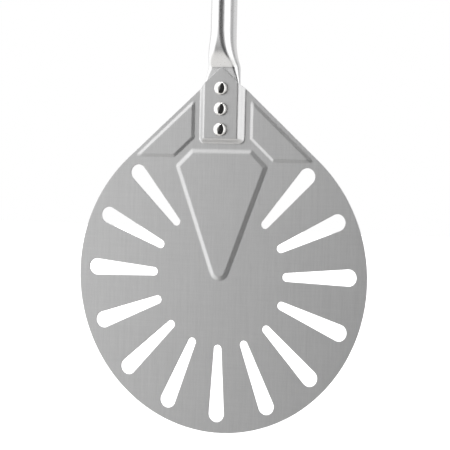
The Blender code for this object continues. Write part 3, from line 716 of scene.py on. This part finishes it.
def make_rivet(node, height, finish):
    """A flattened dome, its shank, and a formed tail behind the tube."""
    low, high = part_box(node)
    front = -low.y - RIVET_HEAD_HEIGHT
    back = -high.y + RIVET_TAIL_HEIGHT
    dome_steps = 36
    power = 2 / RIVET_FLATNESS
    profile = [(0, front + RIVET_HEAD_HEIGHT)]
    for i in range(1, dome_steps + 1):
        angle = math.pi / 2 * i / dome_steps
        profile.append((RIVET_HEAD_RADIUS * math.sin(angle) ** power,
                        front + RIVET_HEAD_HEIGHT * max(math.cos(angle), 0) ** power))
    profile += [(RIVET_SHANK_RADIUS, front), (RIVET_SHANK_RADIUS, back),
                (RIVET_TAIL_RADIUS, back)]
    tail_steps = 8
    for i in range(1, tail_steps + 1):
        angle = math.pi / 2 * i / tail_steps
        share = RIVET_TAIL_CROWN + (1 - RIVET_TAIL_CROWN) * math.cos(angle)
        profile.append((RIVET_TAIL_RADIUS * share,
                        back - RIVET_TAIL_HEIGHT * math.sin(angle)))
    profile.append((0, back - RIVET_TAIL_HEIGHT))
    rivet = turned(f"{node}_fine", profile, finish, steps=64, closed=False)
    rivet.data.transform(Matrix.Translation((0, 0, BLADE_RADIUS + height))
                         @ Matrix.Rotation(math.pi / 2, 4, "X"))
    place_on_body(rivet, "peel", "rivet_steel", node)


# ---------------------------------------------------------------- sleeve and grips

def ring_corners(inner, outer, low, high, chamfer):
    return [Vector(p) for p in (
        (inner, high), (outer - chamfer, high), (outer, high - chamfer),
        (outer, low + chamfer), (outer - chamfer, low), (inner, low))]


def fluted(low, high, surface_radius):
    """A radius rule that sinks round-ended flutes into the grip between two heights."""
    def radius_at(radius, angle, height):
        if radius < surface_radius - FLUTE_SKIN or not low < height < high:
            return radius
        pitch = 2 * math.pi / FLUTE_COUNT
        beside = ((angle + pitch / 2) % pitch - pitch / 2) * surface_radius
        past_end = max(low + FLUTE_HALF_WIDTH - height, height - high + FLUTE_HALF_WIDTH, 0)
        away = math.hypot(beside, past_end) / FLUTE_HALF_WIDTH
        return radius - FLUTE_DEPTH * (1 - min(away, 1) ** 2) ** 2
    return radius_at


def fine_profile(corners, radius, longest):
    """A filleted profile with points added on its long stretches."""
    corners = filleted(corners, radius)
    result = []
    for point, after in zip(corners, corners[1:] + corners[:1]):
        steps = max(1, math.ceil((after - point).length / longest))
        result += [point.lerp(after, k / steps) for k in range(steps)]
    return result


def make_stop_collar(nylon, zinc):
    low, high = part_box("stop_collar")
    corners = ring_corners(TUBE_RADIUS + FIT_GAP, high.x, low.z, high.z, COLLAR_CHAMFER)
    collar = turned("stop_collar_body", filleted(corners, COLLAR_EASE), nylon, steps=120)
    place_on_body(collar, "peel", "black_nylon", "stop_collar")

    start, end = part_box("collar_screw")
    radius, middle = end.x, (start.z + end.z) / 2
    socket, floor = COLLAR_SOCKET_RADIUS, end.y - COLLAR_SOCKET_DEPTH
    profile = [
        (0, floor), (socket, floor), (socket, end.y),
        (radius - COLLAR_SCREW_RIM, end.y), (radius, end.y - COLLAR_SCREW_RIM),
        (radius, start.y + COLLAR_SCREW_POINT), (radius - COLLAR_SCREW_POINT, start.y),
        (0, start.y),
    ]

    def hexagon(reach, angle, height):
        if reach > socket:
            return reach
        turn = (angle + math.pi / 6) % (math.pi / 3) - math.pi / 6
        return reach * math.cos(math.pi / 6) / math.cos(turn)

    screw = turned("collar_screw_fine", profile, zinc, steps=48, closed=False,
                   radius_at=hexagon)
    screw.data.transform(Matrix.Translation((0, 0, middle))
                         @ Matrix.Rotation(-math.pi / 2, 4, "X"))
    place_on_body(screw, "peel", "fastener_steel", "collar_screw")


def make_sleeve(nylon, rubber):
    low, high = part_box("sleeve_liner")
    grip_low, grip_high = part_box("sleeve_grip")
    ring_low, ring_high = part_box("sleeve_retainer")
    bore, flange, flange_top = TUBE_RADIUS + FIT_GAP, high.x, grip_low.z - FIT_GAP
    rim = flange - FLANGE_CHAMFER
    liner = [Vector(p) for p in (
        (bore, high.z), (LINER_RADIUS, high.z), (LINER_RADIUS, flange_top),
        (flange, flange_top), (flange, low.z + FLANGE_CHAMFER), (rim, low.z),
        (bore, low.z))]
    piece = turned("sleeve_liner_fine", filleted(liner, FLANGE_EASE), nylon)
    place_on_body(piece, "sleeve", "black_nylon", "sleeve_liner")

    inner = LINER_RADIUS + FIT_GAP
    retainer = [Vector(p) for p in (
        (inner, ring_high.z), (rim, ring_high.z),
        (flange, ring_high.z - FLANGE_CHAMFER), (flange, ring_low.z), (inner, ring_low.z))]
    piece = turned("sleeve_retainer_fine", filleted(retainer, FLANGE_EASE), nylon)
    place_on_body(piece, "sleeve", "black_nylon", "sleeve_retainer")

    taper, surface = SLEEVE_GRIP_TAPER, grip_high.x
    grip = [Vector(p) for p in (
        (inner, grip_high.z), (rim, grip_high.z), (surface, grip_high.z - taper),
        (surface, grip_low.z + taper), (rim, grip_low.z), (inner, grip_low.z))]
    flutes = fluted(grip_low.z + 2 * taper, grip_high.z - 2 * taper, surface)
    piece = turned("sleeve_grip_fine", fine_profile(grip, GRIP_EASE, GRIP_LONGEST_STEP),
                   rubber, steps=216, radius_at=flutes)
    place_on_body(piece, "turning_grip", "grip_rubber", "sleeve_grip")


def make_rear_grip(rubber):
    inner = TUBE_RADIUS + FIT_GAP
    corners = [Vector(p) for p in (
        (inner, REAR_GRIP_TOP),
        (CAP_RADIUS, REAR_GRIP_TOP),
        (REAR_GRIP_RADIUS, REAR_GRIP_TOP - REAR_GRIP_TAPER),
        (REAR_GRIP_RADIUS, WAIST_END),
        (WAIST_RADIUS, WAIST_AT),
        (GUARD_RADIUS, GUARD_END),
        (GUARD_RADIUS, REAR_GRIP_BOTTOM + GUARD_CHAMFER),
        (GUARD_RADIUS - GUARD_CHAMFER, REAR_GRIP_BOTTOM),
        (inner, REAR_GRIP_BOTTOM),
    )]
    flutes = fluted(REAR_FLUTE_START, REAR_FLUTE_END, REAR_GRIP_RADIUS)
    grip = turned("rear_grip_fine", fine_profile(corners, GRIP_EASE, GRIP_LONGEST_STEP),
                  rubber, steps=216, radius_at=flutes)
    place_on_body(grip, "peel", "grip_rubber", "rear_grip")


# ---------------------------------------------------------------- cap, screw and ring

def applied(piece, modifier_name, operation, other):
    """The piece with another mesh joined to it or cut from it; the other mesh is used up."""
    modifier = piece.modifiers.new(modifier_name, "BOOLEAN")
    modifier.operation = operation
    modifier.solver = "EXACT"
    modifier.object = other
    bpy.context.view_layer.update()
    evaluated = piece.evaluated_get(bpy.context.evaluated_depsgraph_get())
    mesh = bpy.data.meshes.new_from_object(evaluated)
    piece.modifiers.clear()
    piece.data = mesh
    bpy.data.objects.remove(other)
    mesh.shade_smooth()
    mesh.set_sharp_from_angle(angle=math.radians(CUT_SMOOTH_ANGLE))


def make_eye_lug(foot, finish):
    """The eye of the cap: a rounded plate with a hole, its rims eased."""
    ease, half = EYE_EASE, EYE_THICKNESS / 2
    depths = [(half, ease),
              (half - EYE_EASE_MIDDLE * ease, EYE_EASE_MIDDLE * ease), (half - ease, 0)]
    rows = [(y, inset) for y, inset in depths] + [(-y, inset) for y, inset in depths[::-1]]
    body = bmesh.new()
    outer_rows, hole_rows = [], []
    for y, inset in rows:
        rim = arc(Vector((0, 0)), EYE_RADIUS - inset, 0, math.pi, steps=40)
        side = EYE_RADIUS - inset
        rim += [Vector((-side, foot / 2)), Vector((-side, foot)), Vector((side, foot)),
                Vector((side, foot / 2))]
        outer_rows.append([body.verts.new((p.x, y, EYE_CENTRE + p.y)) for p in rim])
        bore = arc(Vector((0, 0)), EYE_HOLE_RADIUS + EYE_BORE_EASE * inset,
                   0, 2 * math.pi, steps=48)[:-1]
        hole_rows.append([body.verts.new((p.x, y, EYE_CENTRE + p.y)) for p in bore])
    skin(body, outer_rows, False)
    skin(body, hole_rows, False)
    for end in (0, -1):
        edges = []
        for row in (outer_rows[end], hole_rows[end]):
            for i, vert in enumerate(row):
                edges.append(body.edges.get((vert, row[(i + 1) % len(row)])))
        bmesh.ops.triangle_fill(body, use_beauty=True, edges=edges)
    return finish_mesh("eye_lug", body, finish)


def make_end_cap(nylon):
    low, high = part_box("end_cap")
    base = REAR_GRIP_TOP + FIT_GAP
    radius, top = high.x, base + CAP_DOME_HEIGHT
    dome = [(radius - inset, top - drop) for inset, drop in CAP_DOME_STEPS]
    corners = [Vector(p) for p in (
        (0, top), *dome, (radius, base), (STEM_RADIUS, base), (STEM_RADIUS, low.z), (0, low.z))]
    rounded_part = filleted(corners, CAP_EASE)
    profile = [p for p in rounded_part if p.x > NEAR_AXIS]
    profile = [Vector((0, top))] + profile + [Vector((0, low.z))]
    profile = [p for i, p in enumerate(profile)
               if i == 0 or (p - profile[i - 1]).length > SAME_PLACE]
    cap = turned("end_cap_fine", profile, nylon, closed=False)
    applied(cap, "eye", "UNION", make_eye_lug(top - EYE_ROOT - EYE_CENTRE, nylon))
    place_on_body(cap, "peel", "black_nylon", "end_cap")


def make_cap_screw(zinc):
    """A countersunk screw seen from the back, with a cross recess."""
    tip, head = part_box("cap_screw")
    height, depth = (tip.z + head.z) / 2, CAP_SCREW_HEAD_RADIUS - CAP_SCREW_RADIUS
    screw = turned("cap_screw_fine", [
        (0, head.y), (CAP_SCREW_HEAD_RADIUS - CAP_SCREW_HEAD_BEVEL, head.y),
        (CAP_SCREW_HEAD_RADIUS, head.y - CAP_SCREW_HEAD_RIM), (CAP_SCREW_RADIUS, head.y - depth),
        (CAP_SCREW_RADIUS, tip.y + CAP_SCREW_RADIUS), (0, tip.y),
    ], zinc, steps=48, closed=False)
    screw.data.transform(Matrix.Translation((0, 0, height))
                         @ Matrix.Rotation(-math.pi / 2, 4, "X"))
    long, narrow = DRIVER_SLOT_HALF_LENGTH, DRIVER_SLOT_HALF_WIDTH
    for reach_x, reach_z in ((long, narrow), (narrow, long)):
        box = bmesh.new()
        bmesh.ops.create_cube(box, size=2)
        bmesh.ops.scale(box, verts=box.verts, vec=(reach_x, DRIVER_SLOT_DEPTH, reach_z))
        bmesh.ops.translate(box, verts=box.verts, vec=(0, head.y, height))
        applied(screw, "recess", "DIFFERENCE", finish_mesh("recess_cutter", box, zinc))
    place_on_body(screw, "peel", "fastener_steel", "cap_screw")


def make_hang_ring(finish):
    """Round wire bent into a ring, with the slight swelling of its butt weld at the top."""
    body = bmesh.new()
    around, across = 144, 28
    loops = []
    for i in range(around):
        turn = 2 * math.pi * i / around
        from_weld = min(turn, 2 * math.pi - turn)
        swell = math.exp(-(from_weld / WELD_SPREAD) ** 2)
        wire = RING_WIRE_RADIUS - WELD_SWELL + WELD_SWELL * swell
        loop = []
        for k in range(across):
            angle = 2 * math.pi * k / across
            reach = RING_RADIUS + wire * math.cos(angle)
            loop.append(body.verts.new((
                wire * math.sin(angle),
                reach * math.sin(turn),
                EYE_CENTRE + RING_RADIUS + reach * math.cos(turn))))
        loops.append(loop)
    skin(body, loops, True)
    ring = finish_mesh("hang_ring_fine", body, finish)
    place_on_body(ring, "ring", "ring_steel", "hang_ring")


# ---------------------------------------------------------------- studio

def make_world():
    """A white studio: a softbox on the left, a strip on the right, dark around the camera."""
    world = bpy.data.worlds.new("studio")
    world.use_nodes = True
    bpy.context.scene.world = world
    tree = world.node_tree
    place = add_node(tree, "ShaderNodeTexCoord")
    split = add_node(tree, "ShaderNodeSeparateXYZ")
    tree.links.new(place.outputs["Generated"], split.inputs[0])
    x, y, z = split.outputs
    degrees = 180 / math.pi
    azimuth = maths(tree, "ARCTAN2", x, maths(tree, "MULTIPLY", y, -1))
    azimuth = maths(tree, "MULTIPLY", azimuth, degrees)
    elevation = maths(tree, "MULTIPLY", maths(tree, "ARCSINE", z), degrees)

    # The softbox's near edge leans towards the middle as it rises.
    leaned = maths(tree, "MULTIPLY_ADD", elevation, SOFTBOX_LEAN, azimuth)
    left = maths(tree, "MULTIPLY", ramp_up(tree, leaned, *SOFTBOX_NEAR_EDGE),
                 ramp_up(tree, azimuth, *SOFTBOX_FAR_EDGE))
    right = maths(tree, "MULTIPLY", ramp_up(tree, azimuth, *STRIP_NEAR_EDGE),
                  ramp_up(tree, azimuth, *STRIP_FAR_EDGE))
    behind = ramp_up(tree, azimuth, *BEHIND_RIGHT)
    beside = ramp_up(tree, azimuth, *BESIDE)
    overhead = ramp_up(tree, elevation, *OVERHEAD)

    # The dark around the camera reaches further down than the floor does elsewhere.
    ahead = maths(tree, "MULTIPLY", ramp_up(tree, azimuth, *AHEAD_LEFT),
                  ramp_up(tree, azimuth, *AHEAD_RIGHT))
    lowered = maths(tree, "MULTIPLY_ADD", ahead, AHEAD_REACH, elevation)
    ground = ramp_up(tree, lowered, *GROUND)

    light = blend_values(tree, beside, DARK_STRENGTH, BESIDE_STRENGTH)
    light = blend_values(tree, behind, light, BEHIND_STRENGTH)
    light = blend_values(tree, ramp_up(tree, azimuth, *BEHIND_LEFT), light, BEHIND_STRENGTH)
    light = blend_values(tree, right, light, STRIP_STRENGTH)
    light = blend_values(tree, left, light, SOFTBOX_STRENGTH)
    light = blend_values(tree, overhead, light, OVERHEAD_STRENGTH)
    light = blend_values(tree, ground, light, GROUND_STRENGTH)
    tint = blend_colours(tree, ground, WHITE, GROUND_TINT)

    seen = tree.nodes["Background"]
    seen.inputs["Color"].default_value = WHITE
    seen.inputs["Strength"].default_value = 1
    reflected = add_node(tree, "ShaderNodeBackground")
    tree.links.new(tint, reflected.inputs["Color"])
    tree.links.new(light, reflected.inputs["Strength"])
    path = add_node(tree, "ShaderNodeLightPath")
    mix = add_node(tree, "ShaderNodeMixShader")
    tree.links.new(path.outputs["Is Camera Ray"], mix.inputs[0])
    tree.links.new(reflected.outputs[0], mix.inputs[1])
    tree.links.new(seen.outputs[0], mix.inputs[2])
    tree.links.new(mix.outputs[0], tree.nodes["World Output"].inputs["Surface"])


def make_floor():
    """A plain white floor.  The world already holds its light, so only the camera sees it."""
    bpy.ops.mesh.primitive_plane_add(size=FLOOR_SIZE)
    floor = bpy.context.object
    floor.name = "floor"
    floor.location.z = CAD_BOX[0].z - FLOOR_DROP
    material = bpy.data.materials.new("floor_white")
    material.use_nodes = True
    shader = material.node_tree.nodes["Principled BSDF"]
    shader.inputs["Base Color"].default_value = (0.9, 0.9, 0.9, 1)
    shader.inputs["Roughness"].default_value = 0.9
    shader.inputs["Emission Color"].default_value = WHITE
    shader.inputs["Emission Strength"].default_value = 1
    floor.data.materials.append(material)
    for ray in ("glossy", "diffuse", "shadow", "transmission"):
        setattr(floor, f"visible_{ray}", False)


def make_lamp():
    """A small soft lamp above and in front."""
    data = bpy.data.lights.new("overhead_lamp", "AREA")
    data.shape = "DISK"
    data.size = LAMP_SIZE
    data.energy = LAMP_POWER
    lamp = bpy.data.objects.new("overhead_lamp", data)
    bpy.context.scene.collection.objects.link(lamp)
    aim = Vector((0, 0, BLADE_RADIUS + POCKET_BOTTOM))
    level = math.cos(LAMP_ELEVATION)
    away = Vector((math.sin(LAMP_AZIMUTH) * level, -math.cos(LAMP_AZIMUTH) * level,
                   math.sin(LAMP_ELEVATION)))
    lamp.location = aim + away * LAMP_REACH
    lamp.rotation_mode = "QUATERNION"
    lamp.rotation_quaternion = away.to_track_quat("Z", "Y")
    lamp.visible_camera = False


def make_camera():
    data = bpy.data.cameras.new("camera")
    data.lens, data.sensor_width = CAMERA_LENS, CAMERA_SENSOR
    camera = bpy.data.objects.new("camera", data)
    bpy.context.scene.collection.objects.link(camera)
    turn = Matrix.Rotation(math.radians(CAMERA_AZIMUTH), 4, "Z")
    tilt = Matrix.Rotation(math.radians(90 - CAMERA_ELEVATION), 4, "X")
    roll = Matrix.Rotation(math.radians(CAMERA_ROLL), 4, "Z")
    camera.matrix_world = Matrix.Translation(CAMERA_PLACE) @ turn @ tilt @ roll
    bpy.context.scene.camera = camera


# ---------------------------------------------------------------- build

rivet, zinc, nylon, rubber = bright_rivet(), zinc_plate(), black_nylon(), grip_rubber()
make_blade(brushed_sheet())
make_tube(satin_tube())
for node, above_centre in RIVET_HEIGHTS.items():
    make_rivet(node, above_centre, rivet)
make_stop_collar(nylon, zinc)
make_sleeve(nylon, rubber)
make_rear_grip(rubber)
make_end_cap(nylon)
make_cap_screw(zinc)
make_hang_ring(ring_wire())
make_world()
make_floor()
make_lamp()
make_camera()
bpy.context.scene.view_settings.view_transform = "Standard"
